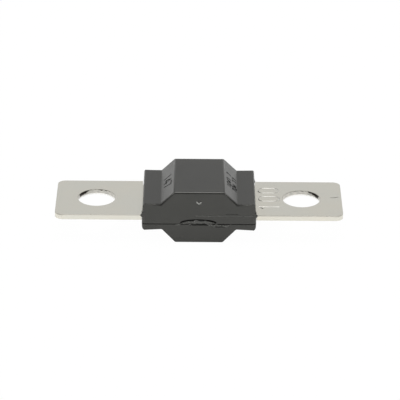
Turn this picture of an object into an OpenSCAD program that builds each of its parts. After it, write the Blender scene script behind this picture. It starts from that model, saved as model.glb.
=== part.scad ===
// Bolt-down strip fuse: a stamped metal strip with a fusible link, clamped in a welded two-part plastic housing.
// The origin is midway between the two stud holes, on the middle plane of the strip. X runs along the strip.

/* [Strip] */
// Overall length of the strip, from tab end to tab end
strip_l = 41.8; // [38:0.1:52]
// Width of the two bolt-on tabs
tab_w = 11.3; // [9.6:0.1:12.6]
// Thickness of the sheet that the strip is stamped from
strip_t = 0.8; // [0.6:0.05:1.2]
// Radius of the four corners of the strip
tab_corner_r = 1.1; // [0.4:0.1:2]
// Distance between the two stud holes
stud_pitch = 30; // [27:0.1:33]
// Diameter of each stud hole, for an M5 stud
stud_hole_d = 5.5; // [4.2:0.1:6.4]
// How far the shoulders of a tab stand out past the neck, on each side
shoulder_step = 1.3; // [1.1:0.1:1.6]

/* [Fusible link] */
// Distance between the two slots that shape the link
link_pitch = 3.4; // [3:0.1:3.8]
// Width of each slot
link_slot_w = 1.3; // [0.8:0.1:1.6]
// Metal left between the round end of a slot and the far edge of the neck
link_neck_w = 2.1; // [1.6:0.1:3]
// Thickness of the link, after coining
link_t = 0.45; // [0.3:0.05:0.6]
// Length of the coined area
coin_l = 6.6; // [6.2:0.1:7.6]
// Diameter of the tin rivet's shank
rivet_d = 0.9; // [0.6:0.1:1]
// Diameter of the tin rivet's heads
rivet_head_d = 1.7; // [1.3:0.1:2]
// Height of each rivet head
rivet_head_h = 0.35; // [0.2:0.05:0.6]

/* [Housing outline] */
// Length of the housing at the seam
body_l = 16.6; // [15.6:0.1:18]
// How far the housing stands out past the tabs at the seam, on each side
side_overhang = 0.2; // [0.15:0.05:0.6]
// Radius of the four upright corners
body_corner_r = 0.55; // [0.2:0.05:1]
// Lean of the end faces, away from the seam
end_draft = 3; // [0.5:0.5:5]
// Lean of the front and back faces, away from the seam
side_draft = 1.3; // [0.5:0.1:3]
// Radius of the edges of each flat top
crown_edge_r = 0.35; // [0.05:0.05:0.6]

/* [Upper shell] */
// Height of the raised middle above the middle of the strip
upper_crown_z = 4.1; // [3.7:0.05:5.5]
// Length of the flat top of the raised middle
upper_crown_l = 7.25; // [6:0.05:8]
// Height of the two shoulders above the middle of the strip
upper_shoulder_z = 2.2; // [1.9:0.05:2.6]
// Length of the raised middle where it meets the shoulders
upper_foot_l = 11.1; // [10.2:0.1:12]
// Radius of the outer edge of the shoulders
upper_edge_r = 0.3; // [0.05:0.05:0.6]

/* [Lower shell] */
// Depth of the raised middle below the middle of the strip
lower_crown_z = 3.95; // [3.5:0.05:5.5]
// Length of the flat underside of the raised middle
lower_crown_l = 6.9; // [6:0.05:8]
// Depth of the two shoulders below the middle of the strip, where they meet the raised middle
lower_shoulder_z = 1.85; // [1.6:0.05:2.6]
// How much further down a shoulder reaches at its outer end
lower_shoulder_fall = 0.15; // [0:0.05:0.4]
// Length of the raised middle where it meets the shoulders
lower_foot_l = 10.8; // [9.8:0.1:12]
// Radius of the outer edge of the shoulders
lower_edge_r = 0.5; // [0.05:0.05:0.6]

/* [Seam and flash] */
// Depth of the seam below the middle of the strip
seam_z = 0.9; // [0.7:0.05:1.05]
// Height of the groove that runs round the seam
groove_h = 0.12; // [0.05:0.01:0.2]
// Depth of the groove that runs round the seam
groove_d = 0.25; // [0.1:0.05:0.4]
// Width of the tongue on each side of the lower shell, which is welded into the upper one
tongue_w = 0.5; // [0.4:0.05:0.7]
// Height of the tongues
tongue_h = 0.45; // [0.3:0.05:0.6]
// Distance from the ends of the tongues to the end faces
tongue_inset = 1; // [0.8:0.1:2]
// How far the flash at a front corner sticks out, beside the strip
flash_reach = 0.32; // [0.1:0.02:0.5]
// How far the flash at the back corner sticks out
flash_reach_back = 0.14; // [0.06:0.02:0.3]
// Height of the flash at its root
flash_h = 0.75; // [0.3:0.05:1]

/* [Inside] */
// Wall around the arc chamber
wall = 1.1; // [0.8:0.05:1.2]
// Length of the arc chamber at the strip
chamber_l = 8.8; // [8:0.1:9.2]
// Diameter of the locating posts
post_d = 2.1; // [1.6:0.1:2.4]
// Depth that the posts reach below the strip
post_reach = 0.85; // [0.4:0.05:1]
// Clearance around whatever slides into something else
slip = 0.05; // [0.02:0.01:0.1]
// Gap between the shoulders of the strip and the end walls
shoulder_gap = 0.05; // [0.05:0.05:0.3]

/* [Hidden] */
$fn = 48;
eps = 1; // how far a cutting shape runs past what it cuts
arc_steps = 6; // straight steps in each rounded corner of an outline

plastic = [0.27, 0.27, 0.26];
plated = [0.78, 0.76, 0.71];
tin = [0.66, 0.67, 0.69];

half_t = strip_t / 2;
neck_w = tab_w - 2 * shoulder_step;
body_w = tab_w + 2 * side_overhang;
pocket_w = neck_w + 2 * slip;
lower_end_z = lower_shoulder_z + lower_shoulder_fall;
tongue_l = body_l - 2 * tongue_inset;
tongue_y = (body_w + pocket_w) / 4; // middle of a side wall
// corners where flash has squeezed out: signs of x and y, and how far it sticks out
flash_corners = [[-1, -1, flash_reach], [1, -1, flash_reach], [1, 1, flash_reach_back]];
shoulder_x = end_x(-half_t) + shoulder_gap;
post_x = (chamber_l + body_l) / 4; // middle of the land between the chamber and the end face
post_hole_d = post_d + 2 * slip;

// Half length of the housing at height z: its end faces lean in away from the seam.
function end_x(z) = body_l / 2 - abs(z + seam_z) * tan(end_draft);
// Half width of the housing at height z: its front and back faces lean in away from the seam.
function side_y(z) = body_w / 2 - abs(z + seam_z) * tan(side_draft);

// Corner b of an outline, between its neighbours a and c, as a row of points on an arc of radius r.
function unit(v) = v / norm(v);
function turned(v, angle) = [v[0] * cos(angle) - v[1] * sin(angle), v[0] * sin(angle) + v[1] * cos(angle)];
function corner_arc(a, b, c, r) =
    r <= 0 ? [b] :
    let (
        to_a = unit(a - b),
        to_c = unit(c - b),
        half_angle = acos(to_a * to_c) / 2,
        centre = b + unit(to_a + to_c) * r / sin(half_angle),
        first = b + to_a * r / tan(half_angle) - centre,
        last = b + to_c * r / tan(half_angle) - centre,
        turn = atan2(first[0] * last[1] - first[1] * last[0], first * last)
    )
    [for (i = [0:arc_steps]) centre + turned(first, turn * i / arc_steps)];

// An outline with corner i rounded to radii[i].
function rounded(points, radii) =
    let (n = len(points))
    [for (i = [0:n - 1])
        each corner_arc(points[(i + n - 1) % n], points[i], points[(i + 1) % n], radii[i])];

// The housing seen from the front, as [x, z]: shoulders at both ends and a raised middle above and below.
side_outline = rounded(
    [
        [-end_x(-seam_z), -seam_z],
        [-end_x(upper_shoulder_z), upper_shoulder_z],
        [-upper_foot_l / 2, upper_shoulder_z],
        [-upper_crown_l / 2, upper_crown_z],
        [upper_crown_l / 2, upper_crown_z],
        [upper_foot_l / 2, upper_shoulder_z],
        [end_x(upper_shoulder_z), upper_shoulder_z],
        [end_x(-seam_z), -seam_z],
        [end_x(-lower_end_z), -lower_end_z],
        [lower_foot_l / 2, -lower_shoulder_z],
        [lower_crown_l / 2, -lower_crown_z],
        [-lower_crown_l / 2, -lower_crown_z],
        [-lower_foot_l / 2, -lower_shoulder_z],
        [-end_x(-lower_end_z), -lower_end_z]
    ],
    [
        0, upper_edge_r, 0, crown_edge_r, crown_edge_r, 0, upper_edge_r,
        0, lower_edge_r, 0, crown_edge_r, crown_edge_r, 0, lower_edge_r
    ]
);

// The housing seen from the end, as [y, z]: widest at the seam.
end_outline = [
    [-side_y(-lower_crown_z), -lower_crown_z],
    [side_y(-lower_crown_z), -lower_crown_z],
    [side_y(-seam_z), -seam_z],
    [side_y(upper_crown_z), upper_crown_z],
    [-side_y(upper_crown_z), upper_crown_z],
    [-side_y(-seam_z), -seam_z]
];

// Half length of the arc chamber at the wall's thickness inside a sloping flank.
// The flank goes from [foot_l / 2, foot_z] to [crown_l / 2, crown_z], and z is measured away from the strip.
function flank_run(foot_z, crown_z, foot_l, crown_l) = (foot_l - crown_l) / 2 / (crown_z - foot_z);
function flank_wall_x(run) = wall * sqrt(1 + run * run);
function chamber_knee_z(foot_z, foot_l, run) = foot_z + (foot_l / 2 - flank_wall_x(run) - chamber_l / 2) / run;
function chamber_roof_x(crown_l, run) = crown_l / 2 + wall * run - flank_wall_x(run);

// A block with upright corners of radius r, from z0 to z1.
module rounded_block(l, w, r, z0, z1) {
    translate([0, 0, z0])
        linear_extrude(height = z1 - z0)
            rounded_plate(l, w, r);
}

// A rectangle with true arcs at its corners.
module rounded_plate(l, w, r) {
    square([l - 2 * r, w], center = true);
    square([l, w - 2 * r], center = true);
    for (x = [-1, 1], y = [-1, 1])
        translate([x * (l / 2 - r), y * (w / 2 - r)])
            circle(r = r);
}

// A profile given as [x, z] points, run across the housing.
module across(w, points) {
    rotate([90, 0, 0])
        linear_extrude(height = w, center = true)
            polygon(points);
}

// The whole outside of the housing.
module housing_outside() {
    intersection() {
        across(body_w + 2 * eps, side_outline);
        rotate([90, 0, 90])
            linear_extrude(height = body_l + 2 * eps, center = true)
                polygon(end_outline);
        rounded_block(body_l, body_w, body_corner_r, -lower_crown_z - eps, upper_crown_z + eps);
    }
}

// Half of the arc chamber, on the +Z side of the strip for dir = 1 and below it for dir = -1.
module half_chamber(dir, foot_z, crown_z, foot_l, crown_l) {
    run = flank_run(foot_z, crown_z, foot_l, crown_l);
    knee_z = chamber_knee_z(foot_z, foot_l, run);
    roof_x = chamber_roof_x(crown_l, run);
    across(pocket_w, [
        [-chamber_l / 2, 0],
        [-chamber_l / 2, dir * knee_z],
        [-roof_x, dir * (crown_z - wall)],
        [roof_x, dir * (crown_z - wall)],
        [chamber_l / 2, dir * knee_z],
        [chamber_l / 2, 0]
    ]);
}

// Both tongues of the lower shell, or with a clearance the grooves that take them.
module rim_tongues(clearance, depth) {
    for (side = [-1, 1])
        translate([
            -tongue_l / 2 - clearance,
            side * tongue_y - tongue_w / 2 - clearance,
            -seam_z - depth
        ])
            cube([tongue_l + 2 * clearance, tongue_w + 2 * clearance, depth + tongue_h + clearance]);
}

// Flash squeezed out at the corners, beside the strip and level with its upper face.
module corner_flash() {
    flash_t = side_overhang - slip;
    root_x = end_x(half_t + flash_h / 2);
    for (corner = flash_corners)
        translate([0, corner[1] * (side_y(half_t + flash_h / 2) - flash_t / 2), 0])
            across(flash_t, [
                [corner[0] * (root_x - body_corner_r), half_t - flash_h / 2],
                [corner[0] * root_x, half_t - flash_h / 2],
                [corner[0] * (root_x + corner[2]), half_t],
                [corner[0] * root_x, half_t + flash_h / 2],
                [corner[0] * (root_x - body_corner_r), half_t + flash_h / 2]
            ]);
}

// Places its children over both locating holes.
module at_posts() {
    for (side = [-1, 1])
        translate([side * post_x, 0, 0])
            children();
}

// Upper shell: the deeper moulding. Its pocket takes the strip, and its posts pass through the strip.
module upper_shell() {
    color(plastic) {
        difference() {
            housing_outside();
            // everything below the seam
            translate([-body_l, -body_w, -seam_z - body_l])
                cube([2 * body_l, 2 * body_w, body_l]);
            // pocket for the strip, open at both ends and below
            translate([-body_l, -pocket_w / 2, -seam_z - eps])
                cube([2 * body_l, pocket_w, seam_z + eps + half_t]);
            half_chamber(1, upper_shoulder_z, upper_crown_z, upper_foot_l, upper_crown_l);
            rim_tongues(slip, eps);
        }
        corner_flash();
        at_posts()
            translate([0, 0, -half_t - post_reach])
                cylinder(d = post_d, h = strip_t + post_reach);
    }
}

// Lower shell: the shallower moulding. Its raised bed fills the pocket and holds the strip up,
// and its two tongues are welded into the side walls of the upper shell.
module lower_shell() {
    bed_w = pocket_w - 2 * slip;
    color(plastic)
        difference() {
            union() {
                difference() {
                    housing_outside();
                    // everything above the seam
                    translate([-body_l, -body_w, -seam_z])
                        cube([2 * body_l, 2 * body_w, body_l]);
                    // groove round the seam
                    difference() {
                        rounded_block(body_l + 2 * eps, body_w + 2 * eps, body_corner_r,
                            -seam_z - groove_h, -seam_z + eps);
                        rounded_block(body_l - 2 * groove_d, body_w - 2 * groove_d, body_corner_r,
                            -seam_z - groove_h - eps, -seam_z + 2 * eps);
                    }
                }
                rim_tongues(0, groove_h);
                // bed under the strip
                translate([-end_x(-half_t), -bed_w / 2, -seam_z - groove_h])
                    cube([2 * end_x(-half_t), bed_w, seam_z + groove_h - half_t]);
            }
            half_chamber(-1, lower_shoulder_z, lower_crown_z, lower_foot_l, lower_crown_l);
            at_posts()
                translate([0, 0, -half_t - post_reach - slip])
                    cylinder(d = post_hole_d, h = post_reach + slip + eps);
        }
}

// One slot of the fusible link, cut in from the +Y edge of the neck.
module link_slot() {
    slot_r = link_slot_w / 2;
    tip_y = -neck_w / 2 + link_neck_w + slot_r;
    translate([-slot_r, tip_y])
        square([link_slot_w, neck_w / 2 - tip_y + eps]);
    translate([0, tip_y])
        circle(r = slot_r);
}

// Everything that is punched out of the strip, seen from above.
module punched() {
    // notches that leave the neck
    for (side = [-1, 1])
        translate([-shoulder_x, side > 0 ? neck_w / 2 : -neck_w / 2 - shoulder_step - eps])
            square([2 * shoulder_x, shoulder_step + eps]);
    for (side = [-1, 1])
        translate([side * stud_pitch / 2, 0])
            circle(d = stud_hole_d);
    at_posts()
        circle(d = post_hole_d);
    translate([link_pitch / 2, 0])
        link_slot();
    rotate(180)
        translate([link_pitch / 2, 0])
            link_slot();
    circle(d = rivet_d);
}

// Fuse strip: one stamping. Two slots from opposite edges leave an S-shaped link between the tabs,
// and both faces of the link are coined down.
module fuse_strip() {
    color(plated)
        difference() {
            translate([0, 0, -half_t])
                linear_extrude(height = strip_t)
                    difference() {
                        rounded_plate(strip_l, tab_w, tab_corner_r);
                        punched();
                    }
            for (z = [-link_t / 2 - eps, link_t / 2])
                translate([-coin_l / 2, -tab_w / 2, z])
                    cube([coin_l, tab_w, eps]);
        }
}

// Tin rivet: headed over on both faces of the link, it makes the fuse slow to blow.
module tin_rivet() {
    rivet_l = link_t + 2 * rivet_head_h;
    color(tin) {
        translate([0, 0, -rivet_l / 2])
            cylinder(d = rivet_d, h = rivet_l);
        for (z = [-rivet_l / 2, link_t / 2])
            translate([0, 0, z])
                cylinder(d = rivet_head_d, h = rivet_head_h);
    }
}

upper_shell();
lower_shell();
fuse_strip();
tin_rivet();
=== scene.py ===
import math
import random
import bmesh
import bpy
from mathutils import Matrix, Vector


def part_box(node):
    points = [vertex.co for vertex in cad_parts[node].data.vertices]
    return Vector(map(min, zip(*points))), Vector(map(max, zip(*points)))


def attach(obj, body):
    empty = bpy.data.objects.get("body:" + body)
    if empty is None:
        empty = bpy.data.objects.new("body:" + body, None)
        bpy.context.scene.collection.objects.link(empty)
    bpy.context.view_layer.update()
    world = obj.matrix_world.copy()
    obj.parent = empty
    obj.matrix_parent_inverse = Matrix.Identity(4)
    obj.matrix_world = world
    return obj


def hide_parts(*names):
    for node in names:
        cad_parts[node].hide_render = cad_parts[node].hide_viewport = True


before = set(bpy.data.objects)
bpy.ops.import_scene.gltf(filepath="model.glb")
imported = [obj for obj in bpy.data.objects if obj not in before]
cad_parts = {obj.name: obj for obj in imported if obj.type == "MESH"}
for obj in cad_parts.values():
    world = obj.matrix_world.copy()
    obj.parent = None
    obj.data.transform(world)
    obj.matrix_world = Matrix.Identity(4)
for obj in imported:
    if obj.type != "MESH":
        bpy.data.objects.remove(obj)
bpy.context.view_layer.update()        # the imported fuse: two shells, the strip and the rivet inside
scene = bpy.context.scene
mm = 0.001

# Camera: a long lens about a third of a metre away, looking down at the front of the fuse.
# The fuse lies level and square to the picture, so its tabs run out to both sides.
picture_px = 400
lens_px = 2483.6
sensor_mm = 36.0
distance = 364.4 * mm
aim_right = 0.141 * mm
aim_up = 0.075 * mm
elevation = math.radians(26.19)
azimuth = math.radians(-0.24)
roll = math.radians(0.52)

back = Vector((
    math.sin(azimuth) * math.cos(elevation),
    -math.cos(azimuth) * math.cos(elevation),
    math.sin(elevation),
))
across = Vector((0, 0, 1)).cross(back).normalized()
upward = back.cross(across)
right = across * math.cos(roll) + upward * math.sin(roll)
top = upward * math.cos(roll) - across * math.sin(roll)
eye = back * distance + across * aim_right + upward * aim_up
camera_data = bpy.data.cameras.new("camera")
camera_data.sensor_width = sensor_mm
camera_data.lens = sensor_mm * lens_px / picture_px
camera_data.clip_start = 0.01
camera = bpy.data.objects.new("camera", camera_data)
camera.matrix_world = Matrix((
    (right.x, top.x, back.x, eye.x),
    (right.y, top.y, back.y, eye.y),
    (right.z, top.z, back.z, eye.z),
    (0, 0, 0, 1),
))
scene.collection.objects.link(camera)
scene.camera = camera
scene.view_settings.view_transform = "Standard"

# Room: white walls behind and beside the fuse, darker on the camera's side and overhead.
# The metal and the satin plastic show it as soft reflections.
horizon_light = 1.03
wall_top_light = 0.765
camera_side_light = 0.05
wall_height = 0.5        # as the upward part of a direction
dark_until = -0.35       # as the part of a direction that points to the back wall
bright_from = 0.4

world = bpy.data.worlds.new("white_room")
scene.world = world
world.use_nodes = True
nodes = world.node_tree.nodes
links = world.node_tree.links
nodes.clear()
direction = nodes.new("ShaderNodeTexCoord")
split = nodes.new("ShaderNodeSeparateXYZ")
links.new(direction.outputs["Generated"], split.inputs[0])
by_height = nodes.new("ShaderNodeMapRange")
by_height.inputs["From Max"].default_value = wall_height
by_height.inputs["To Min"].default_value = horizon_light
by_height.inputs["To Max"].default_value = wall_top_light
by_depth = nodes.new("ShaderNodeMapRange")
by_depth.interpolation_type = "SMOOTHSTEP"
by_depth.inputs["From Min"].default_value = dark_until
by_depth.inputs["From Max"].default_value = bright_from
room_light = nodes.new("ShaderNodeMix")
room_light.data_type = "FLOAT"
room_light.inputs["A"].default_value = camera_side_light
links.new(split.outputs["Z"], by_height.inputs["Value"])
links.new(split.outputs["Y"], by_depth.inputs["Value"])
links.new(by_depth.outputs[0], room_light.inputs["Factor"])
links.new(by_height.outputs[0], room_light.inputs["B"])
room = nodes.new("ShaderNodeBackground")
links.new(room_light.outputs[0], room.inputs["Strength"])
paper = nodes.new("ShaderNodeBackground")
ray = nodes.new("ShaderNodeLightPath")
seen = nodes.new("ShaderNodeMixShader")
world_output = nodes.new("ShaderNodeOutputWorld")
links.new(ray.outputs["Is Camera Ray"], seen.inputs["Fac"])
links.new(room.outputs[0], seen.inputs[1])
links.new(paper.outputs[0], seen.inputs[2])
links.new(seen.outputs[0], world_output.inputs["Surface"])
paper.inputs["Color"].default_value = (1, 1, 1, 1)
paper.inputs["Strength"].default_value = 1.0


# Floor: a sheet of white paper that the fuse rests on with the flat underside of its lower shell.
# It is lit to nearly white by itself, keeps a soft shadow close to the fuse, and is clear from below.
def new_material(name):
    """A new material with its node tree and its Principled shader."""
    material = bpy.data.materials.new(name)
    material.use_nodes = True
    tree = material.node_tree
    return material, tree, tree.nodes["Principled BSDF"]


def work_out(tree, operation, *values):
    """The result of a sum on numbers or on the outputs of other nodes."""
    node = tree.nodes.new("ShaderNodeMath")
    node.operation = operation
    for socket, value in zip(node.inputs, values):
        if isinstance(value, (int, float)):
            socket.default_value = value
        else:
            tree.links.new(value, socket)
    return node.outputs[0]


floor_size = 2.0
mirrored_glow = 0.55     # share of its own light in what the fuse mirrors
seen_glow = 0.985        # share of its own light in what the camera sees
mirrored_gain = 0.1      # how much stronger its own light is in what the fuse mirrors
bpy.ops.mesh.primitive_plane_add(size=floor_size, location=(0, 0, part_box("lower_shell")[0].z))
floor = bpy.context.active_object
floor.name = "floor"
paper_material, paper_tree, paper_shader = new_material("white_paper")
paper_shader.inputs["Base Color"].default_value = (0.9, 0.9, 0.9, 1)
paper_shader.inputs["Roughness"].default_value = 0.9
paper_shader.inputs["Specular IOR Level"].default_value = 0.0
glow = paper_tree.nodes.new("ShaderNodeEmission")
glow.inputs["Color"].default_value = (1, 1, 1, 1)
floor_ray = paper_tree.nodes.new("ShaderNodeLightPath")
mirrored = work_out(
    paper_tree, "MAXIMUM", floor_ray.outputs["Is Glossy Ray"], floor_ray.outputs["Is Transmission Ray"],
)
mirrored_share = work_out(paper_tree, "MULTIPLY", mirrored, mirrored_glow)
camera_share = work_out(paper_tree, "MULTIPLY", floor_ray.outputs["Is Camera Ray"], seen_glow)
share = work_out(paper_tree, "ADD", mirrored_share, camera_share)
glow_strength = work_out(paper_tree, "MULTIPLY_ADD", mirrored, mirrored_gain, 1.0)
paper_tree.links.new(glow_strength, glow.inputs["Strength"])
floor_mix = paper_tree.nodes.new("ShaderNodeMixShader")
paper_tree.links.new(share, floor_mix.inputs["Fac"])
paper_tree.links.new(paper_shader.outputs[0], floor_mix.inputs[1])
paper_tree.links.new(glow.outputs[0], floor_mix.inputs[2])
sheet_side = paper_tree.nodes.new("ShaderNodeNewGeometry")
see_through = paper_tree.nodes.new("ShaderNodeBsdfTransparent")
sheet = paper_tree.nodes.new("ShaderNodeMixShader")
paper_tree.links.new(sheet_side.outputs["Backfacing"], sheet.inputs["Fac"])
paper_tree.links.new(floor_mix.outputs[0], sheet.inputs[1])
paper_tree.links.new(see_through.outputs[0], sheet.inputs[2])
paper_tree.links.new(sheet.outputs[0], paper_tree.nodes["Material Output"].inputs["Surface"])
floor.data.materials.append(paper_material)


# Lamps: one soft box overhead, a little towards the camera, for the thin highlights on the front edges,
# one on each side to lift the sloping flanks, and two low ones that light the front face from its sides.
# They would flare on the bright strip, which has four dim cards on the camera's side instead.
def soft_box(name, place, size, power):
    """A square area lamp that faces the fuse, with its place and size in metres and its power in watts."""
    lamp_data = bpy.data.lights.new(name, "AREA")
    lamp_data.size = size
    lamp_data.energy = power
    lamp = bpy.data.objects.new(name, lamp_data)
    lamp.location = place
    lamp.rotation_euler = Vector(place).to_track_quat("Z", "Y").to_euler()
    scene.collection.objects.link(lamp)
    return lamp


housing_boxes = [
    soft_box("overhead_box", (0.0, -0.04, 0.66), 0.4, 3.0),
    soft_box("left_box", (-0.6, 0.25, 0.35), 0.4, 1.0),
    soft_box("right_box", (0.6, 0.25, 0.35), 0.4, 1.0),
    soft_box("front_left_box", (-0.6, -0.35, 0.12), 0.3, 3.4),
    soft_box("front_right_box", (0.6, -0.35, 0.12), 0.3, 3.4),
]
strip_cards = [
    soft_box("slanted_card", (0.0, -0.3, 0.52), 0.4, 1.0),
    soft_box("camera_side_card", (0.0, -0.6, 0.3), 0.7, 1.1),
    soft_box("camera_left_card", (-0.55, -0.4, 0.25), 0.55, 0.65),
    soft_box("camera_right_card", (0.55, -0.4, 0.25), 0.55, 0.65),
]


# Housing shells: two mouldings of satin dark grey plastic, welded together along a seam below the strip.
# Their long outer edges have the small radius of the mould, and the faces carry a very fine grain.
sharp_edge = math.radians(25)
smooth_edge = math.radians(35)
flat_joint = math.radians(0.5)
large_face = 1.0 * mm * mm
level_face = 0.9999      # upward part of the normal of a level face


def select_only(*pieces):
    """Selects these objects and nothing else, the last one active."""
    bpy.ops.object.select_all(action="DESELECT")
    for piece in pieces:
        piece.select_set(True)
    bpy.context.view_layer.objects.active = pieces[-1]


def worked_copy(node, name):
    """A copy of a solid's mesh under a name of its own, merged and with its flat faces made whole."""
    piece = bpy.data.objects.new(name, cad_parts[node].data.copy())
    scene.collection.objects.link(piece)
    piece.data.materials.clear()
    select_only(piece)
    bpy.ops.object.mode_set(mode="EDIT")
    bpy.ops.mesh.select_all(action="SELECT")
    bpy.ops.mesh.remove_doubles(threshold=0.0005 * mm)
    bpy.ops.mesh.dissolve_limited(angle_limit=flat_joint)
    bpy.ops.object.mode_set(mode="OBJECT")
    return piece


def round_edges(piece, wanted, radius, segments=3, finish=-1):
    """Rounds the sharp edges whose two ends both pass the test `wanted`, in that finish of the piece."""
    select_only(piece)
    bpy.ops.object.mode_set(mode="EDIT")
    bpy.ops.mesh.select_mode(type="EDGE")
    bpy.ops.mesh.select_all(action="DESELECT")
    mesh = bmesh.from_edit_mesh(piece.data)
    for edge in mesh.edges:
        sharp = edge.is_manifold and edge.calc_face_angle() > sharp_edge
        edge.select_set(sharp and all(wanted(end.co) for end in edge.verts))
    bmesh.update_edit_mesh(piece.data)
    bpy.ops.mesh.bevel(
        offset=radius, segments=segments, affect="EDGES", clamp_overlap=False, material=finish,
    )
    bpy.ops.object.mode_set(mode="OBJECT")


def finish_shading(piece):
    """Smooths the rounded edges and keeps the large flat faces flat."""
    select_only(piece)
    bpy.ops.object.shade_smooth_by_angle(angle=smooth_edge)
    for face in piece.data.polygons:
        if face.area > large_face or abs(face.normal.z) > level_face:
            face.use_smooth = False


def fit(piece, slot_name, *replaced):
    """The piece rides on the fuse and stands for those solids; slot_name is not used."""
    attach(piece, "root")
    if replaced:
        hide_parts(*replaced)


def moulded_plastic(name, grey, roughness):
    """Satin glass-filled nylon: a fine grain, slight clouding of the grey and of the gloss."""
    material, tree, shader = new_material(name)
    shader.inputs["IOR"].default_value = 1.53
    shader.inputs["Specular Tint"].default_value = (1, 1, 0.94, 1)
    place = tree.nodes.new("ShaderNodeTexCoord")
    clouds = tree.nodes.new("ShaderNodeTexNoise")
    clouds.inputs["Scale"].default_value = 240
    clouds.inputs["Detail"].default_value = 3
    tree.links.new(place.outputs["Object"], clouds.inputs["Vector"])
    tint = tree.nodes.new("ShaderNodeValToRGB")
    tint.color_ramp.elements[0].position = 0.3
    tint.color_ramp.elements[0].color = (grey[0] * 0.88, grey[1] * 0.88, grey[2] * 0.88, 1)
    tint.color_ramp.elements[1].position = 0.7
    tint.color_ramp.elements[1].color = (grey[0] * 1.12, grey[1] * 1.12, grey[2] * 1.12, 1)
    tree.links.new(clouds.outputs["Fac"], tint.inputs["Fac"])
    tree.links.new(tint.outputs["Color"], shader.inputs["Base Color"])
    gloss = tree.nodes.new("ShaderNodeMapRange")
    gloss.inputs["To Min"].default_value = roughness - 0.05
    gloss.inputs["To Max"].default_value = roughness + 0.05
    tree.links.new(clouds.outputs["Fac"], gloss.inputs["Value"])
    tree.links.new(gloss.outputs[0], shader.inputs["Roughness"])
    grain = tree.nodes.new("ShaderNodeTexNoise")
    grain.inputs["Scale"].default_value = 9000
    grain.inputs["Detail"].default_value = 2
    tree.links.new(place.outputs["Object"], grain.inputs["Vector"])
    bump = tree.nodes.new("ShaderNodeBump")
    bump.inputs["Strength"].default_value = 0.1
    bump.inputs["Distance"].default_value = 0.005 * mm
    tree.links.new(grain.outputs["Fac"], bump.inputs["Height"])
    tree.links.new(bump.outputs[0], shader.inputs["Normal"])
    return material


def stroke(points, closed, radius):
    """A round bar along these points, as a mesh: the edge of an engraving tool, or a thin rib."""
    line = bpy.data.curves.new("stroke", "CURVE")
    line.dimensions = "3D"
    line.bevel_depth = radius
    line.bevel_resolution = 2
    line.use_fill_caps = True
    spline = line.splines.new("POLY")
    spline.points.add(len(points) - 1)
    for target, point in zip(spline.points, points):
        target.co = (*point, 1)
    spline.use_cyclic_u = closed
    bar = bpy.data.objects.new("stroke", line)
    scene.collection.objects.link(bar)
    select_only(bar)
    bpy.ops.object.convert(target="MESH")
    return bpy.context.active_object


def figure(digit, width, height):
    """The strokes of a plain digit in a box of that size: a list of (points, closed)."""
    half = width / 2
    round_steps = 8
    if digit == "0":
        ring = []
        for end, start_angle in ((height - half, 0), (half, 180)):
            for step in range(round_steps + 1):
                angle = math.radians(start_angle + 180 * step / round_steps)
                ring.append((half + half * math.cos(angle), end + half * math.sin(angle)))
        return [(ring, True)]
    straight_bars = {
        "1": (((half, 0), (half, height)), ((half, height), (width * 0.15, height * 0.78))),
        "4": (
            ((width * 0.7, 0), (width * 0.7, height)),
            ((width * 0.7, height), (0, height * 0.3)),
            ((0, height * 0.3), (width, height * 0.3)),
        ),
        "7": (((0, height), (width, height)), ((width, height), (width * 0.3, 0))),
        " ": (),
    }
    return [(bar, False) for bar in straight_bars[digit]]


def engrave(piece, number, corner, reading, up, width, height, pitch, radius, sunk):
    """Cuts a plain number into a face of the piece.
    corner is the lower left of the first digit on the face. sunk lowers the middle of the tool's round edge
    below the face, and raises it where it is negative."""
    inward = up.cross(reading).normalized()
    bars = []
    for place, digit in enumerate(number):
        for points, closed in figure(digit, width, height):
            spots = [
                corner + reading * (place * pitch + point[0]) + up * point[1] + inward * sunk
                for point in points
            ]
            bars.append(stroke(spots, closed, radius))
    carve(piece, bars)


def carve(piece, tools):
    """Cuts the tools out of the piece, and removes them."""
    select_only(*tools)
    if len(tools) > 1:
        bpy.ops.object.join()
    tool = bpy.context.active_object
    modifier = piece.modifiers.new("carve", "BOOLEAN")
    modifier.operation = "DIFFERENCE"
    modifier.solver = "EXACT"
    modifier.use_self = True
    modifier.object = tool
    select_only(piece)
    bpy.ops.object.modifier_apply(modifier=modifier.name)
    bpy.data.objects.remove(tool)


def ball(place, size):
    """A small ball or pebble of that size along X, Y and Z."""
    bpy.ops.mesh.primitive_ico_sphere_add(subdivisions=3, radius=0.5, location=place, scale=size)
    bpy.ops.object.transform_apply(location=True, rotation=True, scale=True)
    return bpy.context.active_object


plastic = moulded_plastic("moulded_plastic", (0.0185, 0.0185, 0.0172), 0.25)
seam_z = -0.9 * mm
side_lean = math.tan(math.radians(1.3))
side_slack = 0.01 * mm
small_radius = 0.14 * mm
rounded_half = 7.9 * mm
rounded_from_z = 1.7 * mm
front_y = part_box("upper_shell")[0].y


def front_face(x, z):
    """The point of the housing's front face at that place along it and height."""
    return Vector((x, front_y + abs(z - seam_z) * side_lean, z))


def bar_on_front(points, radius, lift):
    """A thin round bar along points of (x, z) of the front face, with its middle lifted off the face."""
    spots = [front_face(x * mm, z * mm) - Vector((0, lift * mm, 0)) for x, z in points]
    return stroke(spots, False, radius * mm)


def divide(piece, x):
    """Splits the piece's faces at x, so that a small cut beside it leaves far faces as they are."""
    select_only(piece)
    bpy.ops.object.mode_set(mode="EDIT")
    bpy.ops.mesh.select_all(action="SELECT")
    bpy.ops.mesh.bisect(plane_co=(x, 0, 0), plane_no=(1, 0, 0))
    bpy.ops.object.mode_set(mode="OBJECT")


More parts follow.
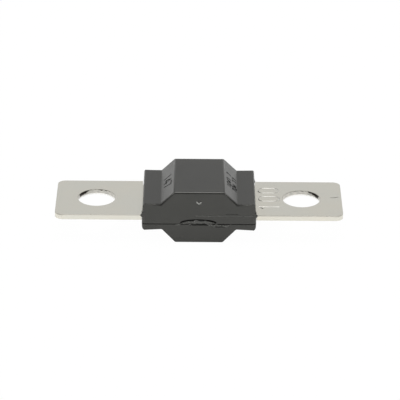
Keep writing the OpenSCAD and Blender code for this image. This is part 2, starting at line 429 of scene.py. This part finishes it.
def on_long_edge(place):
    """Whether the place is on a front or back edge of a shell's shoulders, flanks or middle."""
    at_side = abs(place.y) > abs(front_y) - abs(place.z - seam_z) * side_lean - side_slack
    return at_side and abs(place.x) < rounded_half and abs(place.z) > rounded_from_z


# Upper shell moulding: the deeper half. Its front face has the pit that the gate left, a faint sink mark
# and the recess that the weld melted into its rim, and its two sloping flanks have plain engraved numbers.
upper = worked_copy("upper_shell", "upper_shell_moulding")
front_radius = 0.28 * mm
crown_half = 3.625 * mm
upper_crown_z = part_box("upper_shell")[1].z
upper_shoulder_z = 2.2 * mm
upper_foot_half = 5.55 * mm
flank_rise = upper_crown_z - upper_shoulder_z
flank_run = upper_foot_half - crown_half
flank_length = math.hypot(flank_rise, flank_run)
number_tool = 0.12 * mm
number_depth = 0.02 * mm
# Side, number, and in millimetres the digits' height and width, their way up the slope and their gap.
flank_numbers = [
    (-1, "147", 1.5, 1.1, 0.55, 0.2),
    (1, "704 11", 0.8, 0.5, 0.15, 0.26),
    (1, "1041 7", 0.8, 0.5, 1.25, 0.26),
]
for side, number, tall, wide, up_slope, gap in flank_numbers:
    slope_up = Vector((-side * flank_run, 0, flank_rise)) / flank_length
    reading = Vector((0, side, 0))
    foot = Vector((side * upper_foot_half, 0, upper_shoulder_z))
    pitch = (wide + gap) * mm
    length = pitch * len(number) - gap * mm
    corner = foot + slope_up * up_slope * mm - reading * length / 2
    engrave(
        upper, number, corner, reading, slope_up, width=wide * mm, height=tall * mm, pitch=pitch,
        radius=number_tool, sunk=number_depth,
    )

gate = front_face(-0.02 * mm, 2.6 * mm)
gate_size = (0.44 * mm, 0.3 * mm, 0.3 * mm)
for beside_gate in (-0.7 * mm, 0.7 * mm):
    divide(upper, beside_gate)
carve(upper, [ball(gate, gate_size)])

# The recess's rim is half an ellipse, given by its middle and its half axes in millimetres.
recess_x, recess_z = -0.1, -0.78
recess_half, recess_rise = 2.55, 0.5
recess_steps = 14
recess = []
for step in range(recess_steps + 1):
    angle = math.pi * step / recess_steps
    recess.append((recess_x - recess_half * math.cos(angle), recess_z + recess_rise * math.sin(angle)))
carve(upper, [bar_on_front(recess, 0.115, 0.0)])
sink_mark = [(3.9, 0.63), (5.6, 0.63)]
carve(upper, [bar_on_front(sink_mark, 0.07, 0.04)])


def on_front_top(place):
    """Whether the place is on the upper shell's front edge."""
    return on_long_edge(place) and place.y < 0 and place.z > 0


def on_back_top(place):
    """Whether the place is on the upper shell's back edge."""
    return on_long_edge(place) and place.y > 0 and place.z > 0


round_edges(upper, on_front_top, front_radius, segments=5)
round_edges(upper, on_back_top, small_radius)
finish_shading(upper)
upper.data.materials.append(plastic)
fit(upper, "housing_plastic", "upper_shell")

# Lower shell moulding: the shallower half, with a shallow groove all round where it meets the upper one.
# Its front face has two creases, just below the plastic that melted out of the weld.
lower = worked_copy("lower_shell", "lower_shell_moulding")
long_crease = [(-1.6, -1.04), (-0.6, -1.1), (1.1, -1.1), (1.5, -1.16)]
carve(lower, [bar_on_front(long_crease, 0.09, 0.0)])
short_crease = [(1.9, -1.36), (2.7, -1.4), (4.5, -1.38)]
carve(lower, [bar_on_front(short_crease, 0.07, 0.02)])


def on_underside_edge(place):
    """Whether the place is on the lower shell's front or back edge."""
    return on_long_edge(place) and place.z < 0


round_edges(lower, on_underside_edge, small_radius)
finish_shading(lower)
lower.data.materials.append(plastic)
fit(lower, "housing_plastic", "lower_shell")


# Witness line: the fine rib that the mould's slides leave on the front face, level with the strip.
# It is part of the upper moulding, runs over its right half and stands out more towards the end.
# The rib and the weld flash share a plastic whose grey, paler than the mouldings', is painted highlight for
# the light that the rib and the lumps catch.
melted_plastic_and_sheen = moulded_plastic("melted_plastic_and_sheen", (0.05, 0.05, 0.047), 0.38)
rib_z = 0.33
ribs = [
    bar_on_front([(-0.5, rib_z), (0.9, rib_z)], 0.06, -0.02),
    bar_on_front([(0.9, rib_z), (3.6, rib_z)], 0.05, -0.025),
    bar_on_front([(3.7, rib_z), (6.4, rib_z)], 0.05, -0.038),
    bar_on_front([(6.5, rib_z), (7.8, rib_z)], 0.08, 0.0),
    ball(front_face(1.41 * mm, rib_z * mm), (0.26 * mm, 0.2 * mm, 0.2 * mm)),
]
select_only(*ribs)
bpy.ops.object.join()
witness_line = bpy.context.active_object
witness_line.name = "witness_line"
bpy.ops.object.shade_smooth()
witness_line.data.materials.clear()
witness_line.data.materials.append(melted_plastic_and_sheen)
fit(witness_line, "housing_plastic")


# Weld flash: plastic that melted out of the seam when the shells were welded, and set in small lumps.
# A crescent of it lies over the middle of the seam, a wavy lip hangs at its right, and a seep at its left.
def melted_bead(name, spine, spacing, melt, dice, material):
    """Lumps of melted plastic along a spine of (x, z, width, proud) on the front face.
    More melt runs them together."""
    lumps = []
    for (x0, z0, w0, p0), (x1, z1, w1, p1) in zip(spine, spine[1:]):
        steps = max(1, round(math.hypot(x1 - x0, z1 - z0) / spacing))
        for step in range(steps):
            t = step / steps
            swell = dice.uniform(0.7, 1.3)
            width = (w0 + (w1 - w0) * t) * swell
            proud = (p0 + (p1 - p0) * t) * swell
            rise = dice.uniform(-0.25, 0.25) * width
            spot = front_face((x0 + (x1 - x0) * t) * mm, (z0 + (z1 - z0) * t + rise) * mm)
            lumps.append(ball(spot, (width * 1.3 * mm, proud * 2 * mm, width * mm)))
    select_only(*lumps)
    bpy.ops.object.join()
    bead = bpy.context.active_object
    bead.name = name
    skin = bead.modifiers.new("skin", "REMESH")
    skin.mode = "VOXEL"
    skin.voxel_size = 0.02 * mm
    bpy.ops.object.modifier_apply(modifier=skin.name)
    flow = bead.modifiers.new("flow", "SMOOTH")
    flow.iterations = melt
    bpy.ops.object.modifier_apply(modifier=flow.name)
    bpy.ops.object.shade_smooth()
    bead.data.materials.append(material)
    fit(bead, "housing_plastic")


# The lumps' paler grey is painted highlight.
flash_dice = random.Random(11)
melted_bead("weld_flash_crescent", [
    (-2.5, -0.86, 0.1, 0.03), (-1.7, -0.72, 0.26, 0.08), (-0.9, -0.62, 0.36, 0.12), (0.0, -0.6, 0.36, 0.13),
    (0.9, -0.6, 0.36, 0.13), (1.5, -0.72, 0.3, 0.12), (1.9, -0.86, 0.2, 0.1),
], spacing=0.24, melt=2, dice=flash_dice, material=melted_plastic_and_sheen)
melted_bead("weld_flash_lip", [
    (1.1, -0.84, 0.2, 0.1), (1.74, -1.03, 0.2, 0.14), (2.1, -1.14, 0.18, 0.14), (2.6, -1.04, 0.2, 0.15),
    (3.3, -1.18, 0.18, 0.14), (4.0, -1.2, 0.2, 0.15), (4.4, -1.1, 0.14, 0.1), (4.7, -0.96, 0.08, 0.05),
], spacing=0.12, melt=8, dice=flash_dice, material=melted_plastic_and_sheen)
melted_bead("weld_flash_seep", [
    (-3.35, -1.04, 0.12, 0.06), (-2.95, -1.05, 0.16, 0.1), (-2.7, -1.02, 0.1, 0.05),
], spacing=0.1, melt=3, dice=flash_dice, material=melted_plastic_and_sheen)

# Gate scar: where the sprue was broken off, the plastic is torn and rough. Its pale grey is partly the torn
# plastic and partly painted highlight, for the light that the scar catches.
# It is a small crescent on the lower lip of the pit in the front face.
torn_plastic_and_highlight = moulded_plastic("torn_plastic_and_highlight", (0.23, 0.23, 0.22), 0.6)
melted_bead("gate_scar", [
    (-0.32, 2.58, 0.14, 0.08), (-0.2, 2.42, 0.22, 0.12), (-0.02, 2.36, 0.26, 0.14),
    (0.16, 2.42, 0.22, 0.12), (0.28, 2.58, 0.14, 0.08),
], spacing=0.07, melt=6, dice=flash_dice, material=torn_plastic_and_highlight)


# Fuse strip: stamped from tin plated copper alloy sheet, with a plain number struck into the right tab.
# The die rolls the upper edges over a little and drags the tin over the cut edges, which are rougher.
def tin_plate(name, warm, cool, roughness, grain_strength, grain_stretch, cloud_scale=160):
    """Satin tin over rolled sheet: warm and cool clouds, and a grain that a small stretch draws out."""
    material, tree, shader = new_material(name)
    shader.inputs["Metallic"].default_value = 1.0
    place = tree.nodes.new("ShaderNodeTexCoord")
    clouds = tree.nodes.new("ShaderNodeTexNoise")
    clouds.inputs["Scale"].default_value = cloud_scale
    clouds.inputs["Detail"].default_value = 2
    tree.links.new(place.outputs["Object"], clouds.inputs["Vector"])
    tint = tree.nodes.new("ShaderNodeValToRGB")
    tint.color_ramp.elements[0].position = 0.35
    tint.color_ramp.elements[0].color = (*cool, 1)
    tint.color_ramp.elements[1].position = 0.65
    tint.color_ramp.elements[1].color = (*warm, 1)
    tree.links.new(clouds.outputs["Fac"], tint.inputs["Fac"])
    tree.links.new(tint.outputs["Color"], shader.inputs["Base Color"])
    stretch = tree.nodes.new("ShaderNodeMapping")
    stretch.inputs["Scale"].default_value = grain_stretch
    tree.links.new(place.outputs["Object"], stretch.inputs["Vector"])
    lines = tree.nodes.new("ShaderNodeTexNoise")
    lines.inputs["Scale"].default_value = 6000
    lines.inputs["Detail"].default_value = 3
    tree.links.new(stretch.outputs["Vector"], lines.inputs["Vector"])
    gloss = tree.nodes.new("ShaderNodeMapRange")
    gloss.inputs["To Min"].default_value = roughness - 0.04
    gloss.inputs["To Max"].default_value = roughness + 0.06
    tree.links.new(lines.outputs["Fac"], gloss.inputs["Value"])
    tree.links.new(gloss.outputs[0], shader.inputs["Roughness"])
    bump = tree.nodes.new("ShaderNodeBump")
    bump.inputs["Strength"].default_value = grain_strength
    bump.inputs["Distance"].default_value = 0.004 * mm
    tree.links.new(lines.outputs["Fac"], bump.inputs["Height"])
    tree.links.new(bump.outputs[0], shader.inputs["Normal"])
    return material


plated_face = tin_plate(
    "plated_face", warm=(0.84, 0.814, 0.725), cool=(0.82, 0.81, 0.736),
    roughness=0.22, grain_strength=0.12, grain_stretch=(0.06, 1, 1),
)
sheared_edge = tin_plate(
    "sheared_edge", warm=(0.71, 0.68, 0.6), cool=(0.69, 0.68, 0.61),
    roughness=0.4, grain_strength=0.1, grain_stretch=(1, 1, 0.12),
)
punched_wall = tin_plate(
    "punched_wall", warm=(0.62, 0.6, 0.55), cool=(0.5, 0.49, 0.455),
    roughness=0.35, grain_strength=0.3, grain_stretch=(1, 1, 0.2), cloud_scale=1800,
)
struck_groove = tin_plate(
    "struck_groove", warm=(0.87, 0.85, 0.79), cool=(0.83, 0.82, 0.77),
    roughness=0.34, grain_strength=0.2, grain_stretch=(1, 1, 1), cloud_scale=900,
)
# The scratch's sides show the bared alloy, painted near black. The brown tint is the alloy's own, and the
# darkness is painted shade in the scratch.
bared_metal_and_shade = tin_plate(
    "bared_metal_and_shade", warm=(0.1, 0.085, 0.07), cool=(0.16, 0.14, 0.12),
    roughness=0.5, grain_strength=0.4, grain_stretch=(1, 1, 1), cloud_scale=2600,
)
strip_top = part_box("fuse_strip")[1].z
strip_thick = 2 * strip_top
housing_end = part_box("lower_shell")[1].x
tab_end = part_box("fuse_strip")[1].x
tab_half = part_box("fuse_strip")[1].y
tab_corner = 1.1 * mm
stud_radius = 2.75 * mm
stud_x = 15 * mm
edge_slack = 0.02 * mm


def lay_over(material, share, colour):
    """Lays that colour over the material's own, as far as the share says."""
    tree = material.node_tree
    shader = tree.nodes["Principled BSDF"]
    layer = tree.nodes.new("ShaderNodeMix")
    layer.data_type = "RGBA"
    tree.links.new(share, layer.inputs["Factor"])
    tree.links.new(shader.inputs["Base Color"].links[0].from_socket, layer.inputs["A"])
    layer.inputs["B"].default_value = colour
    tree.links.new(layer.outputs["Result"], shader.inputs["Base Color"])


def clear_of(tree, value, limit, sharpness):
    """How far a value is past a limit, from 0 to 1."""
    past = work_out(tree, "MULTIPLY", work_out(tree, "SUBTRACT", value, limit), sharpness)
    past.node.use_clamp = True
    return past


def axis_of_place(tree, axis):
    """The X, Y or Z of the place on the strip."""
    place = tree.nodes.new("ShaderNodeTexCoord")
    split = tree.nodes.new("ShaderNodeSeparateXYZ")
    tree.links.new(place.outputs["Object"], split.inputs[0])
    return split.outputs[axis]


def way_down(tree):
    """How far down the cut edge the place is, from 0 at the top to 1 at the underside."""
    fallen = work_out(tree, "SUBTRACT", strip_top, axis_of_place(tree, "Z"))
    return work_out(tree, "DIVIDE", fallen, strip_thick)


# The die rolled the upper edge over. Down its first tenth of a millimetre the edge is painted darker, as
# painted shade of that rolled edge.
edge_tree = sheared_edge.node_tree
past_roll_shade = clear_of(edge_tree, way_down(edge_tree), 0.14, 20.0)
painted_roll_shade = work_out(edge_tree, "SUBTRACT", 1.0, past_roll_shade)
lay_over(sheared_edge, painted_roll_shade, (0.54, 0.52, 0.46, 1))

# The punch left a bright band at the foot of each hole's wall. Above that the wall is painted near black as
# shade:
# down most of the wall on the side away from the housing, and in a thin ragged line below the rim at the
# back.
wall_tree = punched_wall.node_tree
bright_foot = clear_of(wall_tree, way_down(wall_tree), 0.74, 10.0)
lay_over(punched_wall, bright_foot, (0.97, 0.96, 0.94, 1))
along_strip = work_out(wall_tree, "ABSOLUTE", axis_of_place(wall_tree, "X"))
outward = work_out(wall_tree, "SUBTRACT", along_strip, stud_x)
turned = work_out(wall_tree, "ARCTAN2", axis_of_place(wall_tree, "Y"), outward)
painted_shade_depth = wall_tree.nodes.new("ShaderNodeValToRGB")
wall_tree.links.new(work_out(wall_tree, "DIVIDE", turned, math.pi), painted_shade_depth.inputs["Fac"])
# Share of the half turn from the tab's end by way of the back, and how far down the painted shade reaches
# there.
painted_shade_depths = [
    (0.1, 0.0), (0.14, 0.78), (0.24, 0.7), (0.35, 0.25), (0.4, 0.08),
    (0.44, 0.05), (0.48, 0.2), (0.7, 0.15), (0.76, 0.0),
]
for stop_number, (half_turn_share, depth) in enumerate(painted_shade_depths):
    if stop_number < 2:
        stop = painted_shade_depth.color_ramp.elements[stop_number]
        stop.position = half_turn_share
    else:
        stop = painted_shade_depth.color_ramp.elements.new(half_turn_share)
    stop.color = (depth, depth, depth, 1)
rag_place = wall_tree.nodes.new("ShaderNodeTexCoord")
rags = wall_tree.nodes.new("ShaderNodeTexNoise")
rags.inputs["Scale"].default_value = 3500
rags.inputs["Detail"].default_value = 4
wall_tree.links.new(rag_place.outputs["Object"], rags.inputs["Vector"])
ragged = work_out(wall_tree, "MULTIPLY_ADD", rags.outputs["Fac"], 0.8, painted_shade_depth.outputs["Color"])
above_painted_shade = work_out(wall_tree, "SUBTRACT", ragged, way_down(wall_tree))
painted_shade_share = clear_of(wall_tree, above_painted_shade, 0.4, 7.0)
# Lays the near-black painted shade over the wall.
lay_over(punched_wall, painted_shade_share, (0.03, 0.025, 0.02, 1))

strip = worked_copy("fuse_strip", "stamped_strip")
for finish in (plated_face, sheared_edge, punched_wall, struck_groove, bared_metal_and_shade):
    strip.data.materials.append(finish)
face_finish, edge_finish, wall_finish, groove_finish, bared_and_shade_finish = range(5)

# The number reads along +Y, from the near side to the back, with its feet away from the housing.
stamped_number = "100"
figure_w, figure_h, figure_pitch = 1.55 * mm, 3.1 * mm, 2.7 * mm
feet_x, first_middle_y = 11.75 * mm, -2.8 * mm
engrave(
    strip, stamped_number,
    corner=Vector((feet_x, first_middle_y - figure_w / 2, strip_top)),
    reading=Vector((0, 1, 0)), up=Vector((-1, 0, 0)),
    width=figure_w, height=figure_h, pitch=figure_pitch, radius=0.15 * mm, sunk=-0.09 * mm,
)

# A nick in the left tab's near edge, and a scratch on the right tab that bares the alloy under the tin.
for beside_nick in (-15.95 * mm, -15.3 * mm):
    divide(strip, beside_nick)
nick_start = Vector((-15.7 * mm, -5.62 * mm, strip_top))
nick_end = Vector((-15.55 * mm, -5.45 * mm, strip_top + 0.03 * mm))
carve(strip, [stroke([nick_start, nick_end], False, 0.1 * mm)])
nick_middle_x = -15.62 * mm
nick_reach = 0.35 * mm
scratch = [(19.3, 0.45), (19.8, 0.42), (20.1, 0.55), (20.45, 0.62)]
scratch_path = [Vector((x * mm, y * mm, strip_top - 0.02 * mm)) for x, y in scratch]
carve(strip, [stroke(scratch_path, False, 0.06 * mm)])

hole_reach = 2.8 * mm
scratch_from_x = 19.2 * mm
scratch_half_y = 1.0 * mm
scratch_from_z = 0.3 * mm
groove_rise = 0.02       # upward part of the normal of a groove's side
for face in strip.data.polygons:
    middle = face.center
    at_scratch = abs(middle.x) > scratch_from_x and abs(middle.y) < scratch_half_y
    if abs(face.normal.z) > level_face:
        face.material_index = face_finish
    elif math.hypot(abs(middle.x) - stud_x, middle.y) < hole_reach:
        face.material_index = wall_finish
    elif at_scratch and middle.z > scratch_from_z:
        face.material_index = bared_and_shade_finish
    elif face.normal.z > groove_rise:
        face.material_index = groove_finish
    else:
        face.material_index = edge_finish


def on_cut_edge(place):
    """Whether the place is on a tab's outline, corners or hole rim, and clear of the nick."""
    if math.hypot(place.x - nick_middle_x, place.y + tab_half) < nick_reach:
        return False
    along, aside = abs(place.x), abs(place.y)
    at_corner = along > tab_end - tab_corner and aside > tab_half - tab_corner
    at_rim = abs(math.hypot(along - stud_x, aside) - stud_radius) < edge_slack
    at_outline = aside > tab_half - edge_slack or along > tab_end - edge_slack
    return along > housing_end + edge_slack and (at_corner or at_rim or at_outline)


cut_edge_radius = 0.04 * mm
round_edges(strip, on_cut_edge, cut_edge_radius, segments=2, finish=edge_finish)
finish_shading(strip)
fit(strip, "plated_strip", "fuse_strip")

# The housing's lamps are kept off the strip, and the cards light nothing else.
for lamps, state in ((housing_boxes, "EXCLUDE"), (strip_cards, "INCLUDE")):
    for lamp in lamps:
        lit_pieces = bpy.data.collections.new("lit_by_" + lamp.name)
        lit_pieces.objects.link(strip)
        lamp.light_linking.receiver_collection = lit_pieces
        lit_pieces.collection_objects[0].light_linking.link_state = state


# Tin rivet: a soft tin rivet, headed over on both faces of the link inside the housing.
# When the link runs hot, its tin alloys with the link and makes it melt sooner.
rivet = worked_copy("tin_rivet", "tin_rivet_headed")
head_radius = 0.12 * mm
round_edges(rivet, lambda place: True, head_radius)
finish_shading(rivet)
dull_tin = tin_plate(
    "dull_tin", warm=(0.62, 0.62, 0.62), cool=(0.58, 0.59, 0.61),
    roughness=0.45, grain_strength=0.4, grain_stretch=(1, 1, 1),
)
rivet.data.materials.append(dull_tin)
fit(rivet, "tin", "tin_rivet")
